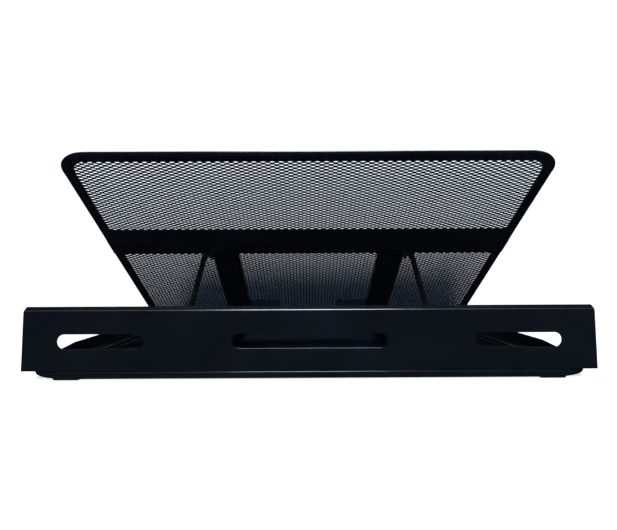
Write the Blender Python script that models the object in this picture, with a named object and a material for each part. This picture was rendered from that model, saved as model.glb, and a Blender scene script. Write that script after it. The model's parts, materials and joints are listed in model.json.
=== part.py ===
"""Passive laptop cooling stand of bent sheet steel and expanded metal.

A shallow tray with a slotted rear wall carries a tilting mesh platform, and a wire bail props the platform.
X runs across the stand, -Y is the side of the wall, +Y is the side of the hinge, +Z is up. All in metres.
"""

import math

import bmesh
import bpy

# Whole stand and fits
OVERALL_DEPTH = 0.333
BASE_WIDTH = 0.344
FIT_GAP = 0.0003
SEAM_GAP = 0.0004
SIDE_GAP = 0.0005

# Tray rails: an upright lip, a ledge and an inner leg, open below
RAIL_SHEET = 0.0012
RAIL_BOTTOM = 0.0012
LIP_TOP = 0.0166
LIP_BREAK = 0.0157
LIP_BREAK_FROM_REAR = 0.0755
REAR_LIP = 0.0114
LEDGE_TOP = 0.007
LEDGE_WIDTH = 0.010
TRAY_INNER_RADIUS = 0.002
REAR_LEG = 0.019
FRONT_LEG = 0.037

# Tray floor, strips and feet
FLOOR_DROP = 0.0013
FLOOR_SHEET = 0.0008
STRIP_INNER = 0.061
STRIP_WIDTH = 0.023
STRIP_SHEET = 0.0008
NOTCH_COUNT = 4
NOTCH_PITCH = 0.012
NOTCH_LENGTH = 0.016
NOTCH_CLEARANCE = 0.0005
FOOT_LENGTH = 0.016
FOOT_INSET = 0.022
FOOT_X = BASE_WIDTH / 2 - FOOT_INSET
FOOT_CHAMFER = 0.0006

# Rear wall
WALL_SHEET = 0.0012
WALL_BOTTOM = 0.006
WALL_TOP = 0.0449
WALL_OVERHANG = 0.004
WALL_NARROWING = 0.0035
WALL_BOTTOM_WIDTH = BASE_WIDTH + 2 * WALL_OVERHANG
WALL_TOP_WIDTH = WALL_BOTTOM_WIDTH - WALL_NARROWING
WALL_FLANGE = 0.0045
WALL_BEND_RADIUS = 0.0025
WALL_RELIEF = 0.0035
WALL_TAB_DROP = 0.0012
SLOT_HEIGHT = 0.0088
SLOT_CENTRE_Z = 0.024
CENTRE_SLOT_LENGTH = 0.095
SIDE_SLOT_LENGTH = 0.0525
SIDE_SLOT_INSET = 0.0442
SIDE_SLOT_X = BASE_WIDTH / 2 - SIDE_SLOT_INSET

# Hinge of the platform
HINGE_FROM_FRONT = 0.025
HINGE_BELOW_LIP = 0.003
HINGE_FROM_WALL = OVERALL_DEPTH - HINGE_FROM_FRONT
HINGE_HEIGHT = LIP_TOP - HINGE_BELOW_LIP
PLATFORM_TILT = math.radians(24.8)
PIN_RADIUS = 0.002
PIN_HEAD_RADIUS = 0.0029
PIN_DOME = 0.0016
PIN_TAIL = 0.001
LUG_SHEET = 0.001
HINGE_LUG_LENGTH = 0.012
HINGE_LUG_WIDTH = 0.012
HINGE_EAR_RADIUS = 0.0045

# Platform rims, measured from the hinge axis
PLATFORM_REAR_GAP = 0.004
PLATFORM_REACH = HINGE_FROM_WALL - PLATFORM_REAR_GAP
PLATFORM_FRONT = 0.012
RIM_RISE = PIN_HEAD_RADIUS + FIT_GAP + LUG_SHEET + FIT_GAP
RIM_SHEET = 0.0008
RIM_FLANGE = 0.0068
SIDE_RETURN = 0.0037
RIM_INNER_RADIUS = 0.0042
REAR_CORNER_RADIUS = 0.017
DECK_SHEET = 0.0006
RIM_LEG = 0.0186
STOP_WIDTH = 0.042
STOP_X = 0.052
STOP_HEIGHT = 0.022
STOP_SHEET = 0.0012
STOP_FLANGE = 0.007
STOP_CORNER = 0.006

# Cross bar and strips under the platform
BAR_FROM_REAR = 0.104
BAR_WIDTH = 0.0375
BAR_FOLD = 0.018
BAR_DIP = 0.0004
BAR_INSET = 0.0006
STRIP_SETBACK = STOP_FLANGE - STOP_SHEET / 2

# Wire bail that props the platform, and its lugs under the cross bar
WIRE_RADIUS = 0.00225
WIRE_BEND = 0.0035
WIRE_FROM_STRIP = 0.0055
WIRE_BELOW_LUG = 0.00085
WIRE_PAST_LUG = 0.0015
FOOT_BEND = 0.012
BAIL_FOOT_GAP = 0.00065
BAIL_EAR_WALL = 0.001
BAIL_LUG_LENGTH = 0.010
BAIL_LUG_WIDTH = 0.012
BAIL_LUG_UNDER_BAR = 0.0065
BAIL_LENGTH = 0.130
BAIL_HALF_WIDTH = STRIP_INNER + STRIP_WIDTH + WIRE_FROM_STRIP
BAIL_PIVOT = PLATFORM_REACH - BAR_FROM_REAR - BAR_WIDTH + BAIL_LUG_UNDER_BAR - BAIL_LUG_LENGTH / 2
BAIL_LUG_TOP = RIM_RISE - FIT_GAP - BAR_DIP - STRIP_SHEET - FIT_GAP
BAIL_DROP = WIRE_RADIUS + WIRE_BELOW_LUG - (BAIL_LUG_TOP - LUG_SHEET)

# Expanded metal: coarser openings than the real sheet, in the same proportion
OPENING_PITCH = 0.0285
OPENING_ROW = 0.016
STRAND = 0.0042
DECK_BORDER = 0.010
FLOOR_BORDER = 0.006

# Smoothness of round shapes
CORNER_STEPS = 6
ROUND_STEPS = 16

# Places worked out from the sizes
WALL_FACE = -OVERALL_DEPTH / 2
RAIL_REAR = WALL_FACE + WALL_SHEET + FIT_GAP
RAIL_FRONT = OVERALL_DEPTH / 2
HINGE_Y = WALL_FACE + HINGE_FROM_WALL
TRAY_RADIUS = LEDGE_WIDTH + TRAY_INNER_RADIUS
STRIP_OUTER = STRIP_INNER + STRIP_WIDTH
STRIP_BOTTOM = LEDGE_TOP + FIT_GAP
STRIP_TOP = STRIP_BOTTOM + STRIP_SHEET
PLATFORM_HALF = BASE_WIDTH / 2 - RAIL_SHEET - SIDE_GAP
RIM_RADIUS = RIM_FLANGE + RIM_INNER_RADIUS
DECK_BOTTOM = RIM_RISE + RIM_SHEET + FIT_GAP
RIM_TOP = DECK_BOTTOM + DECK_SHEET + FIT_GAP + RIM_SHEET
BAR_TOP = RIM_RISE - FIT_GAP
BAR_REAR = BAR_FROM_REAR - PLATFORM_REACH
BAR_FRONT = BAR_REAR + BAR_WIDTH
PIVOT_Y = HINGE_Y - BAIL_PIVOT * math.cos(PLATFORM_TILT) - BAIL_DROP * math.sin(PLATFORM_TILT)
PIVOT_Z = HINGE_HEIGHT + BAIL_PIVOT * math.sin(PLATFORM_TILT) - BAIL_DROP * math.cos(PLATFORM_TILT)
BAIL_FOOT_Z = STRIP_TOP + WIRE_RADIUS + BAIL_FOOT_GAP
BAIL_ANGLE = math.asin((PIVOT_Z - BAIL_FOOT_Z) / BAIL_LENGTH)
BAIL_FOOT_Y = PIVOT_Y - BAIL_LENGTH * math.cos(BAIL_ANGLE)
SIDES = ((-1, "left"), (1, "right"))

for old in list(bpy.data.objects):
    bpy.data.objects.remove(old, do_unlink=True)


# Materials
def finish(name, colour, roughness, metallic):
    """Principled material of one piece."""
    material = bpy.data.materials.new(name)
    material.use_nodes = True
    shader = material.node_tree.nodes["Principled BSDF"]
    shader.inputs["Base Color"].default_value = (*colour, 1.0)
    shader.inputs["Roughness"].default_value = roughness
    shader.inputs["Metallic"].default_value = metallic
    material.diffuse_color = (*colour, 1.0)
    return material


def powder_coat(name):
    """Satin black powder coat on steel sheet."""
    return finish(name + "_coat", (0.006, 0.008, 0.011), 0.45, 0.0)


def rubber(name):
    """Matt black rubber."""
    return finish(name + "_rubber", (0.010, 0.010, 0.010), 0.85, 0.0)


def steel(name):
    """Blackened steel of the rivets."""
    return finish(name + "_steel", (0.030, 0.032, 0.036), 0.35, 1.0)


# Mesh building
def add_piece(name, points, faces, material=None, parent=None):
    """Closed mesh object from points and faces, with its faces turned outwards."""
    mesh = bpy.data.meshes.new(name)
    mesh.from_pydata(points, [], faces)
    work = bmesh.new()
    work.from_mesh(mesh)
    bmesh.ops.recalc_face_normals(work, faces=work.faces)
    work.to_mesh(mesh)
    work.free()
    if material:
        mesh.materials.append(material)
    piece = bpy.data.objects.new(name, mesh)
    bpy.context.scene.collection.objects.link(piece)
    piece.parent = parent
    return piece


def loft(name, rings, material=None, parent=None):
    """Solid skin over rings of equal point count, with a flat cap on each end ring."""
    count = len(rings[0])
    points = [point for ring in rings for point in ring]
    faces = [tuple(range(count))]
    faces.append(tuple(range(len(points) - count, len(points))))
    for ring in range(len(rings) - 1):
        low = ring * count
        for corner in range(count):
            after = (corner + 1) % count
            faces.append((low + corner, low + after, low + count + after, low + count + corner))
    return add_piece(name, points, faces, material, parent)


def prism(name, outline, low, high, axis, material=None, parent=None):
    """Outline extruded along X, Y or Z from low to high."""
    lift = {
        "X": lambda a, b, h: (h, a, b),
        "Y": lambda a, b, h: (a, h, b),
        "Z": lambda a, b, h: (a, b, h),
    }[axis]
    rings = [[lift(a, b, height) for a, b in outline] for height in (low, high)]
    return loft(name, rings, material, parent)


def box(name, x_span, y_span, z_span, material=None, parent=None):
    """Rectangular block between two corners."""
    outline = [(x_span[0], y_span[0]), (x_span[1], y_span[0]), (x_span[1], y_span[1]), (x_span[0], y_span[1])]
    return prism(name, outline, z_span[0], z_span[1], "Z", material, parent)


def arc(centre, radius, start, end, steps):
    """Points of a circular arc, both ends included, angles in degrees."""
    angles = [math.radians(start + (end - start) * step / steps) for step in range(steps + 1)]
    return [(centre[0] + radius * math.cos(a), centre[1] + radius * math.sin(a)) for a in angles]


def circle(centre, radius):
    """Points of a full circle."""
    return arc(centre, radius, 0, 360, ROUND_STEPS)[:-1]


def stadium(centre, length, height):
    """Slot outline with round ends."""
    radius = height / 2
    reach = length / 2 - radius
    right = arc((centre[0] + reach, centre[1]), radius, -90, 90, ROUND_STEPS // 2)
    left = arc((centre[0] - reach, centre[1]), radius, 90, 270, ROUND_STEPS // 2)
    return right + left


def rounded_rectangle(x_span, y_span, radius):
    """Rectangle outline with four equal round corners."""
    x_low, x_high = x_span[0] + radius, x_span[1] - radius
    y_low, y_high = y_span[0] + radius, y_span[1] - radius
    points = arc((x_high, y_low), radius, -90, 0, CORNER_STEPS)
    points += arc((x_high, y_high), radius, 0, 90, CORNER_STEPS)
    points += arc((x_low, y_high), radius, 90, 180, CORNER_STEPS)
    points += arc((x_low, y_low), radius, 180, 270, CORNER_STEPS)
    return points


def boolean(target, tool, operation):
    """Boolean of one piece with a hidden tool solid."""
    tool.hide_render = True
    tool.display_type = "WIRE"
    modifier = target.modifiers.new(tool.name, "BOOLEAN")
    modifier.operation = operation
    modifier.solver = "EXACT"
    modifier.object = tool


# Rails: a profile (distance inwards, height) carried along a path of (place, inward direction)
def carry(name, profiles, path, material, parent=None):
    """Rail made by carrying a closed profile along the path, with one profile for each place."""
    rings = []
    for profile, ((x, y), (inward_x, inward_y)) in zip(profiles, path):
        rings.append([(x + depth * inward_x, y + depth * inward_y, height) for depth, height in profile])
    return loft(name, rings, material, parent)


def wrapped_path(half_width, end_y, leg_y, radius):
    """Path across one end of a frame, round both corners and along a short leg on each side."""
    forward = 1 if leg_y > end_y else -1
    left = [((-half_width, leg_y), (1, 0))]
    for step in range(CORNER_STEPS + 1):
        turn = 0.5 * math.pi * step / CORNER_STEPS
        inward = (math.cos(turn), forward * math.sin(turn))
        x = -half_width + radius - radius * inward[0]
        y = end_y + forward * radius - radius * inward[1]
        left.append(((x, y), inward))
    right = [((-x, y), (-inward_x, inward_y)) for (x, y), (inward_x, inward_y) in reversed(left)]
    return left + right


def side_path(side, half_width, places):
    """Straight path along one side of a frame, through the given places."""
    return [((side * half_width, y), (-side, 0)) for y in places]


def tray_profile(lip_top):
    """Upright lip, ledge and inner leg of a tray rail."""
    return [
        (0, RAIL_BOTTOM),
        (0, lip_top),
        (RAIL_SHEET, lip_top),
        (RAIL_SHEET, LEDGE_TOP),
        (LEDGE_WIDTH, LEDGE_TOP),
        (LEDGE_WIDTH, RAIL_BOTTOM),
        (LEDGE_WIDTH - RAIL_SHEET, RAIL_BOTTOM),
        (LEDGE_WIDTH - RAIL_SHEET, LEDGE_TOP - RAIL_SHEET),
        (RAIL_SHEET, LEDGE_TOP - RAIL_SHEET),
        (RAIL_SHEET, RAIL_BOTTOM),
    ]


def rim_profile(bottom_return):
    """Folded rim that holds the deck sheet between its two flanges."""
    return [
        (0, RIM_RISE),
        (0, RIM_TOP),
        (RIM_FLANGE, RIM_TOP),
        (RIM_FLANGE, RIM_TOP - RIM_SHEET),
        (RIM_SHEET, RIM_TOP - RIM_SHEET),
        (RIM_SHEET, RIM_RISE + RIM_SHEET),
        (bottom_return, RIM_RISE + RIM_SHEET),
        (bottom_return, RIM_RISE),
    ]


# Expanded metal panel
def expanded_metal(name, x_half, y_span, radius, border, z_span, material, parent=None):
    """Sheet with staggered diamond openings inside a plain border."""
    panel = prism(name, rounded_rectangle((-x_half, x_half), y_span, radius), *z_span, "Z", material, parent)
    half_pitch = OPENING_PITCH / 2
    reach = 1 - STRAND * math.hypot(1 / half_pitch, 1 / OPENING_ROW) / 2
    half_length = reach * half_pitch
    half_height = reach * OPENING_ROW
    y_middle = (y_span[0] + y_span[1]) / 2
    row_limit = int(((y_span[1] - y_span[0]) / 2 - border - half_height) / OPENING_ROW)
    points = []
    faces = []
    for row in range(-row_limit, row_limit + 1):
        shift = half_pitch * (row % 2)
        column_limit = int((x_half - border - half_length + shift) / OPENING_PITCH)
        for column in range(-column_limit + row % 2, column_limit + 1):
            x = column * OPENING_PITCH - shift
            y = y_middle + row * OPENING_ROW
            first = len(points)
            for z in (z_span[0] - FIT_GAP, z_span[1] + FIT_GAP):
                points.append((x + half_length, y, z))
                points.append((x, y + half_height, z))
                points.append((x - half_length, y, z))
                points.append((x, y - half_height, z))
            faces.append((first + 3, first + 2, first + 1, first))
            faces.append((first + 4, first + 5, first + 6, first + 7))
            for corner in range(4):
                after = (corner + 1) % 4
                faces.append((first + corner, first + after, first + 4 + after, first + 4 + corner))
    openings = add_piece(name + "_openings", points, faces, parent=parent)
    boolean(panel, openings, "DIFFERENCE")
    return panel


# Bent lug: a flange against what carries it and an ear with a round hole
def bent_lug(name, ear_face, side, top, span, width, axis, ear_radius, hole_radius, parent):
    """Lug on one side; its ear's outer face is at ear_face, its axis runs along X at (y, z)."""
    ear = sorted((side * ear_face, side * (ear_face - LUG_SHEET)))
    flange = sorted((side * ear_face, side * (ear_face - width)))
    lug = box(name, flange, span, (top - LUG_SHEET, top), powder_coat(name), parent)
    outline = arc(axis, ear_radius, 180, 360, ROUND_STEPS // 2)
    outline.append((axis[0] + ear_radius, top - LUG_SHEET / 2))
    outline.append((axis[0] - ear_radius, top - LUG_SHEET / 2))
    boolean(lug, prism(name + "_ear", outline, *ear, "X", parent=parent), "UNION")
    hole_span = sorted((side * (ear_face + LUG_SHEET), side * (ear_face - 2 * LUG_SHEET)))
    hole = prism(name + "_hole", circle(axis, hole_radius), *hole_span, "X", parent=parent)
    boolean(lug, hole, "DIFFERENCE")
    return lug


# Tray rails
hinge_bore_radius = PIN_RADIUS + FIT_GAP
rear_path = wrapped_path(BASE_WIDTH / 2, RAIL_REAR, RAIL_REAR + REAR_LEG, TRAY_RADIUS)
carry("base_rear_rail", [tray_profile(REAR_LIP)] * len(rear_path), rear_path, powder_coat("base_rear_rail"))
front_path = wrapped_path(BASE_WIDTH / 2, RAIL_FRONT, RAIL_FRONT - FRONT_LEG, TRAY_RADIUS)
front_rail = carry(
    "base_front_rail", [tray_profile(LIP_TOP)] * len(front_path), front_path, powder_coat("base_front_rail")
)
hinge_bore = prism(
    "base_hinge_bore", circle((HINGE_Y, HINGE_HEIGHT), hinge_bore_radius), -BASE_WIDTH, BASE_WIDTH, "X"
)
boolean(front_rail, hinge_bore, "DIFFERENCE")
rear_end = RAIL_REAR + REAR_LEG + SEAM_GAP
front_end = RAIL_FRONT - FRONT_LEG - SEAM_GAP
side_places = (rear_end, RAIL_REAR + LIP_BREAK_FROM_REAR, front_end)
side_profiles = [tray_profile(lip) for lip in (REAR_LIP, LIP_BREAK, LIP_TOP)]
for side, word in SIDES:
    name = "base_side_rail_" + word
    carry(name, side_profiles, side_path(side, BASE_WIDTH / 2, side_places), powder_coat(name))

# Tray floor, which lies between the rails' inner legs
floor_gap = LEDGE_WIDTH + FIT_GAP
floor_top = LEDGE_TOP - FLOOR_DROP
expanded_metal(
    "base_mesh",
    BASE_WIDTH / 2 - floor_gap,
    (RAIL_REAR + floor_gap, RAIL_FRONT - floor_gap),
    TRAY_INNER_RADIUS - FIT_GAP,
    FLOOR_BORDER,
    (floor_top - FLOOR_SHEET, floor_top),
    powder_coat("base_mesh"),
)

# Tray strips from ledge to ledge, with cross notches for the bail's foot
for side, word in SIDES:
    name = "base_strip_" + word
    x_span = sorted((side * STRIP_INNER, side * STRIP_OUTER))
    y_span = (RAIL_REAR + RAIL_SHEET + FIT_GAP, RAIL_FRONT - RAIL_SHEET - FIT_GAP)
    strip = box(name, x_span, y_span, (STRIP_BOTTOM, STRIP_TOP), powder_coat(name))
    for notch in range(NOTCH_COUNT):
        notch_y = BAIL_FOOT_Y + (notch - NOTCH_COUNT // 2) * NOTCH_PITCH
        notch_x = side * (STRIP_INNER + STRIP_WIDTH / 2)
        half_notch = WIRE_RADIUS + NOTCH_CLEARANCE
        tool = box(
            "%s_notch_%d" % (name, notch),
            (notch_x - NOTCH_LENGTH / 2, notch_x + NOTCH_LENGTH / 2),
            (notch_y - half_notch, notch_y + half_notch),
            (STRIP_BOTTOM - FIT_GAP, STRIP_TOP + FIT_GAP),
        )
        boolean(strip, tool, "DIFFERENCE")

# Rubber feet pressed into the open underside of the front and rear rails
foot_half_width = LEDGE_WIDTH / 2 - RAIL_SHEET - FIT_GAP
foot_top = LEDGE_TOP - RAIL_SHEET - FIT_GAP
for end_word, foot_y in (("rear", RAIL_REAR + LEDGE_WIDTH / 2), ("front", RAIL_FRONT - LEDGE_WIDTH / 2)):
    for side, word in SIDES:
        name = "foot_%s_%s" % (end_word, word)
        rings = []
        for inset, z in ((FOOT_CHAMFER, 0), (0, FOOT_CHAMFER), (0, foot_top)):
            half_x = FOOT_LENGTH / 2 - inset
            half_y = foot_half_width - inset
            corners = ((-half_x, -half_y), (half_x, -half_y), (half_x, half_y), (-half_x, half_y))
            rings.append([(side * FOOT_X + x, foot_y + y, z) for x, y in corners])
        loft(name, rings, rubber(name))

# Rear wall: a bent section whose width tapers to the top, with three slots and relieved bend ends
bend_y = WALL_FACE + WALL_BEND_RADIUS
bend_z = WALL_TOP - WALL_BEND_RADIUS
section = [(WALL_FACE, WALL_BOTTOM)]
section += arc((bend_y, bend_z), WALL_BEND_RADIUS, 180, 90, CORNER_STEPS)
section.append((WALL_FACE + WALL_FLANGE, WALL_TOP))
section.append((WALL_FACE + WALL_FLANGE, WALL_TOP - WALL_SHEET))
section += arc((bend_y, bend_z), WALL_BEND_RADIUS - WALL_SHEET, 90, 180, CORNER_STEPS)
section.append((WALL_FACE + WALL_SHEET, WALL_BOTTOM))
wall_taper = (WALL_BOTTOM_WIDTH - WALL_TOP_WIDTH) / 2 / (WALL_TOP - WALL_BOTTOM)
wall_rings = []
for side, word in SIDES:
    ring = [(side * (WALL_BOTTOM_WIDTH / 2 - wall_taper * (z - WALL_BOTTOM)), y, z) for y, z in section]
    wall_rings.append(ring)
wall = loft("rear_wall", wall_rings, powder_coat("rear_wall"))
slots = (
    ("centre_slot", 0, CENTRE_SLOT_LENGTH),
    ("left_slot", -SIDE_SLOT_X, SIDE_SLOT_LENGTH),
    ("right_slot", SIDE_SLOT_X, SIDE_SLOT_LENGTH),
)
slot_span = (WALL_FACE - WALL_SHEET, WALL_FACE + 2 * WALL_SHEET)
for name, slot_x, slot_length in slots:
    tool = prism(name, stadium((slot_x, SLOT_CENTRE_Z), slot_length, SLOT_HEIGHT), *slot_span, "Y")
    boolean(wall, tool, "DIFFERENCE")
for side, word in SIDES:
    relief_x = sorted((side * (WALL_TOP_WIDTH / 2 - WALL_RELIEF), side * WALL_BOTTOM_WIDTH))
    relief_y = (WALL_FACE - WALL_SHEET, WALL_FACE + WALL_FLANGE + WALL_SHEET)
    relief = box("wall_relief_" + word, relief_x, relief_y, (WALL_TOP - WALL_TAB_DROP, WALL_TOP + WALL_SHEET))
    boolean(wall, relief, "DIFFERENCE")

# Hinge rivets through the tray's lip and the platform's lugs
for side, word in SIDES:
    name = "hinge_pin_" + word
    head_x = BASE_WIDTH / 2 + FIT_GAP
    tail_x = PLATFORM_HALF - LUG_SHEET - FIT_GAP
    turned = [(tail_x - PIN_TAIL, PIN_HEAD_RADIUS), (tail_x, PIN_HEAD_RADIUS), (tail_x, PIN_RADIUS)]
    turned += [(head_x, PIN_RADIUS), (head_x, PIN_HEAD_RADIUS)]
    for step in (1, 2, 3):
        swing = 0.5 * math.pi * step / 4
        turned.append((head_x + PIN_DOME * math.sin(swing), PIN_HEAD_RADIUS * math.cos(swing)))
    rings = []
    for x, radius in turned:
        rings.append([(side * x, y, z) for y, z in circle((HINGE_Y, HINGE_HEIGHT), radius)])
    loft(name, rings, steel(name))

# Platform, modelled flat about its hinge axis and tilted by the empty that carries it
platform_axis = bpy.data.objects.new("platform_axis", None)
bpy.context.scene.collection.objects.link(platform_axis)
platform_axis.location = (0, HINGE_Y, HINGE_HEIGHT)
platform_axis.rotation_euler = (-PLATFORM_TILT, 0, 0)

rear_leg_y = -PLATFORM_REACH + RIM_LEG
front_leg_y = PLATFORM_FRONT - RIM_LEG
platform_ends = (
    ("rear", -PLATFORM_REACH, rear_leg_y, REAR_CORNER_RADIUS),
    ("front", PLATFORM_FRONT, front_leg_y, RIM_RADIUS),
)
for end_word, end_y, leg_y, corner_radius in platform_ends:
    name = "platform_%s_rail" % end_word
    path = wrapped_path(PLATFORM_HALF, end_y, leg_y, corner_radius)
    carry(name, [rim_profile(RIM_FLANGE)] * len(path), path, powder_coat(name), platform_axis)
for side, word in SIDES:
    name = "platform_side_rail_" + word
    path = side_path(side, PLATFORM_HALF, (rear_leg_y + SEAM_GAP, front_leg_y - SEAM_GAP))
    carry(name, [rim_profile(SIDE_RETURN)] * len(path), path, powder_coat(name), platform_axis)

# Deck sheet, held inside the rims
deck_gap = RIM_SHEET + FIT_GAP
expanded_metal(
    "platform_mesh",
    PLATFORM_HALF - deck_gap,
    (-PLATFORM_REACH + deck_gap, PLATFORM_FRONT - deck_gap),
    REAR_CORNER_RADIUS - deck_gap,
    DECK_BORDER,
    (DECK_BOTTOM, DECK_BOTTOM + DECK_SHEET),
    powder_coat("platform_mesh"),
    platform_axis,
)

# Cross bar: a strip with one shallow fold, under both side rims
bar_fold_y = BAR_REAR + BAR_FOLD
bar_section = [
    (BAR_REAR, BAR_TOP),
    (bar_fold_y, BAR_TOP - BAR_DIP),
    (BAR_FRONT, BAR_TOP - BAR_DIP),
    (BAR_FRONT, BAR_TOP - BAR_DIP - STRIP_SHEET),
    (bar_fold_y, BAR_TOP - BAR_DIP - STRIP_SHEET),
    (BAR_REAR, BAR_TOP - STRIP_SHEET),
]
bar_half = PLATFORM_HALF - BAR_INSET
prism("cross_bar", bar_section, -bar_half, bar_half, "X", powder_coat("cross_bar"), platform_axis)

# Strips from the cross bar to the front rim, and the lugs of the bail under the bar
pivot_axis = (-BAIL_PIVOT, -BAIL_DROP)
wire_hole = WIRE_RADIUS + FIT_GAP
for side, word in SIDES:
    name = "platform_strip_" + word
    x_span = sorted((side * STRIP_INNER, side * STRIP_OUTER))
    y_span = (BAR_FRONT + FIT_GAP, PLATFORM_FRONT - STRIP_SETBACK)
    box(name, x_span, y_span, (BAR_TOP - STRIP_SHEET, BAR_TOP), powder_coat(name), platform_axis)
    bent_lug(
        "bail_lug_" + word,
        STRIP_OUTER,
        side,
        BAIL_LUG_TOP,
        (-BAIL_PIVOT - BAIL_LUG_LENGTH / 2, -BAIL_PIVOT + BAIL_LUG_LENGTH / 2),
        BAIL_LUG_WIDTH,
        pivot_axis,
        wire_hole + BAIL_EAR_WALL,
        wire_hole,
        platform_axis,
    )

# Hinge lugs under the front corners of the platform
for side, word in SIDES:
    bent_lug(
        "hinge_lug_" + word,
        PLATFORM_HALF,
        side,
        BAR_TOP,
        (-HINGE_LUG_LENGTH / 2, HINGE_LUG_LENGTH / 2),
        HINGE_LUG_WIDTH,
        (0, 0),
        HINGE_EAR_RADIUS,
        hinge_bore_radius,
        platform_axis,
    )

# Front stops: upright tabs with round shoulders and a flange under the front rim
stop_face = PLATFORM_FRONT + FIT_GAP
stop_top = RIM_TOP + STOP_HEIGHT
for side, word in SIDES:
    name = "front_stop_" + word
    x_low = side * STOP_X - STOP_WIDTH / 2
    x_high = side * STOP_X + STOP_WIDTH / 2
    outline = [(x_low, BAR_TOP - STOP_SHEET), (x_high, BAR_TOP - STOP_SHEET)]
    outline += arc((x_high - STOP_CORNER, stop_top - STOP_CORNER), STOP_CORNER, 0, 90, CORNER_STEPS)
    outline += arc((x_low + STOP_CORNER, stop_top - STOP_CORNER), STOP_CORNER, 90, 180, CORNER_STEPS)
    stop_span = (stop_face, stop_face + STOP_SHEET)
    stop = prism(name, outline, *stop_span, "Y", powder_coat(name), platform_axis)
    flange_y = (stop_face + STOP_SHEET / 2 - STOP_FLANGE, stop_face + STOP_SHEET / 2)
    flange = box(
        name + "_flange", (x_low, x_high), flange_y, (BAR_TOP - STOP_SHEET, BAR_TOP), parent=platform_axis
    )
    boolean(stop, flange, "UNION")

# Wire bail: two arms, a foot across the tray and ends bent inwards through the lugs
bail_axis = bpy.data.objects.new("bail_axis", None)
bpy.context.scene.collection.objects.link(bail_axis)
bail_axis.parent = platform_axis
bail_axis.location = (0, *pivot_axis)
bail_axis.rotation_euler = (BAIL_ANGLE + PLATFORM_TILT, 0, 0)

wire_end = STRIP_OUTER - LUG_SHEET - WIRE_PAST_LUG
half_route = [(wire_end, 0)]
half_route += arc((BAIL_HALF_WIDTH - WIRE_BEND, -WIRE_BEND), WIRE_BEND, 90, 0, CORNER_STEPS)
foot_centre = (BAIL_HALF_WIDTH - FOOT_BEND, -BAIL_LENGTH + FOOT_BEND)
half_route += arc(foot_centre, FOOT_BEND, 0, -90, CORNER_STEPS)
route = half_route + [(-x, y) for x, y in reversed(half_route)]
wire = bpy.data.curves.new("support_bail", "CURVE")
wire.dimensions = "3D"
wire.bevel_depth = WIRE_RADIUS
wire.bevel_resolution = 3
wire.use_fill_caps = True
spline = wire.splines.new("POLY")
spline.points.add(len(route) - 1)
for point, (x, y) in zip(spline.points, route):
    point.co = (x, y, 0, 1)
wire.materials.append(steel("support_bail"))
bail = bpy.data.objects.new("support_bail", wire)
bpy.context.scene.collection.objects.link(bail)
bail.parent = bail_axis
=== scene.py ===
import json
import math

import bpy
import numpy as np
from mathutils import Matrix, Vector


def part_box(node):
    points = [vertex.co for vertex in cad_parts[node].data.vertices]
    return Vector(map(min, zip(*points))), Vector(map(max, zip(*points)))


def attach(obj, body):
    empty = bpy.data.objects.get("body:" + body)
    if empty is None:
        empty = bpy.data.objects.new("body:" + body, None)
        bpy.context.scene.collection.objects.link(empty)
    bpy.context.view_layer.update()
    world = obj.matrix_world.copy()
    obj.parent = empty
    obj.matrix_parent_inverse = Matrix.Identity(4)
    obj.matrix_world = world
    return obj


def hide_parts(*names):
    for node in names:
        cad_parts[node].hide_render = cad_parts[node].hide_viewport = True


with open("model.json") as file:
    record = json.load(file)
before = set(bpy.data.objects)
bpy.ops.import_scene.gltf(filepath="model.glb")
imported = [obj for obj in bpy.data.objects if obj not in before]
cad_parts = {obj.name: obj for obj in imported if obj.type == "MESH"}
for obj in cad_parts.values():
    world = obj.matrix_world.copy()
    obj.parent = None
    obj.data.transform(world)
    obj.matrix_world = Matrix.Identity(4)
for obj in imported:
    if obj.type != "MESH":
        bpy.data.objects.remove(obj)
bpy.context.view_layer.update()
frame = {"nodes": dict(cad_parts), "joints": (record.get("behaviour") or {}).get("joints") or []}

# Tray rails: four lengths of folded steel sheet, each with an upright lip, a ledge and a rolled bottom hem.
# They are bent round the corners, butted along the sides with a fine seam, and powder coated after welding.
TRAY_HALF = 0.172
TRAY_REAR = -0.165
TRAY_FRONT = 0.1665
TRAY_CORNER = 0.020
REAR_LEG = 0.021
FRONT_LEG = 0.037
SEAM = 0.0004
RAIL_SHEET = 0.0012
RAIL_DEPTH = 0.010
LEDGE_TOP = 0.007
LEG_BOTTOM = 0.0012
LIP_REAR = 0.0114
LIP_BREAK = 0.0157
LIP_FRONT = 0.0166
LIP_BREAK_Y = TRAY_REAR + 0.0755
HEM_OUT = 0.0024
HEM_TOP = 0.0055
HEM_END = 0.0013
HEM_SIDE = 0.0036
COAT_BLACK = "#080c10"
COAT_PALE = "#0c1014"
MOTTLING = 0.035


def rounded(corners, radii, steps=5):
    """Closed outline whose corners are arcs. Each arc touches both sides, and its points turn evenly
    between the two touching radii."""
    corners = np.asarray(corners, float)
    radii = np.asarray(radii, float)[:, None]
    before = np.roll(corners, 1, axis=0) - corners
    after = np.roll(corners, -1, axis=0) - corners
    before /= np.linalg.norm(before, axis=1, keepdims=True)
    after /= np.linalg.norm(after, axis=1, keepdims=True)
    half = np.arccos(np.clip((before * after).sum(axis=1, keepdims=True), -1, 1)) / 2
    bisector = before + after
    bisector /= np.linalg.norm(bisector, axis=1, keepdims=True)
    centre = corners + bisector * radii / np.sin(half)
    first = (corners + before * radii / np.tan(half) - centre)[:, None, :]
    last = (corners + after * radii / np.tan(half) - centre)[:, None, :]
    turn = (math.pi - 2 * half)[:, None, :]
    share = np.linspace(0, 1, steps + 1)[None, :, None]
    arcs = (np.sin((1 - share) * turn) * first + np.sin(share * turn) * last) / np.sin(turn)
    return (centre[:, None, :] + arcs).reshape(-1, 2)


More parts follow.
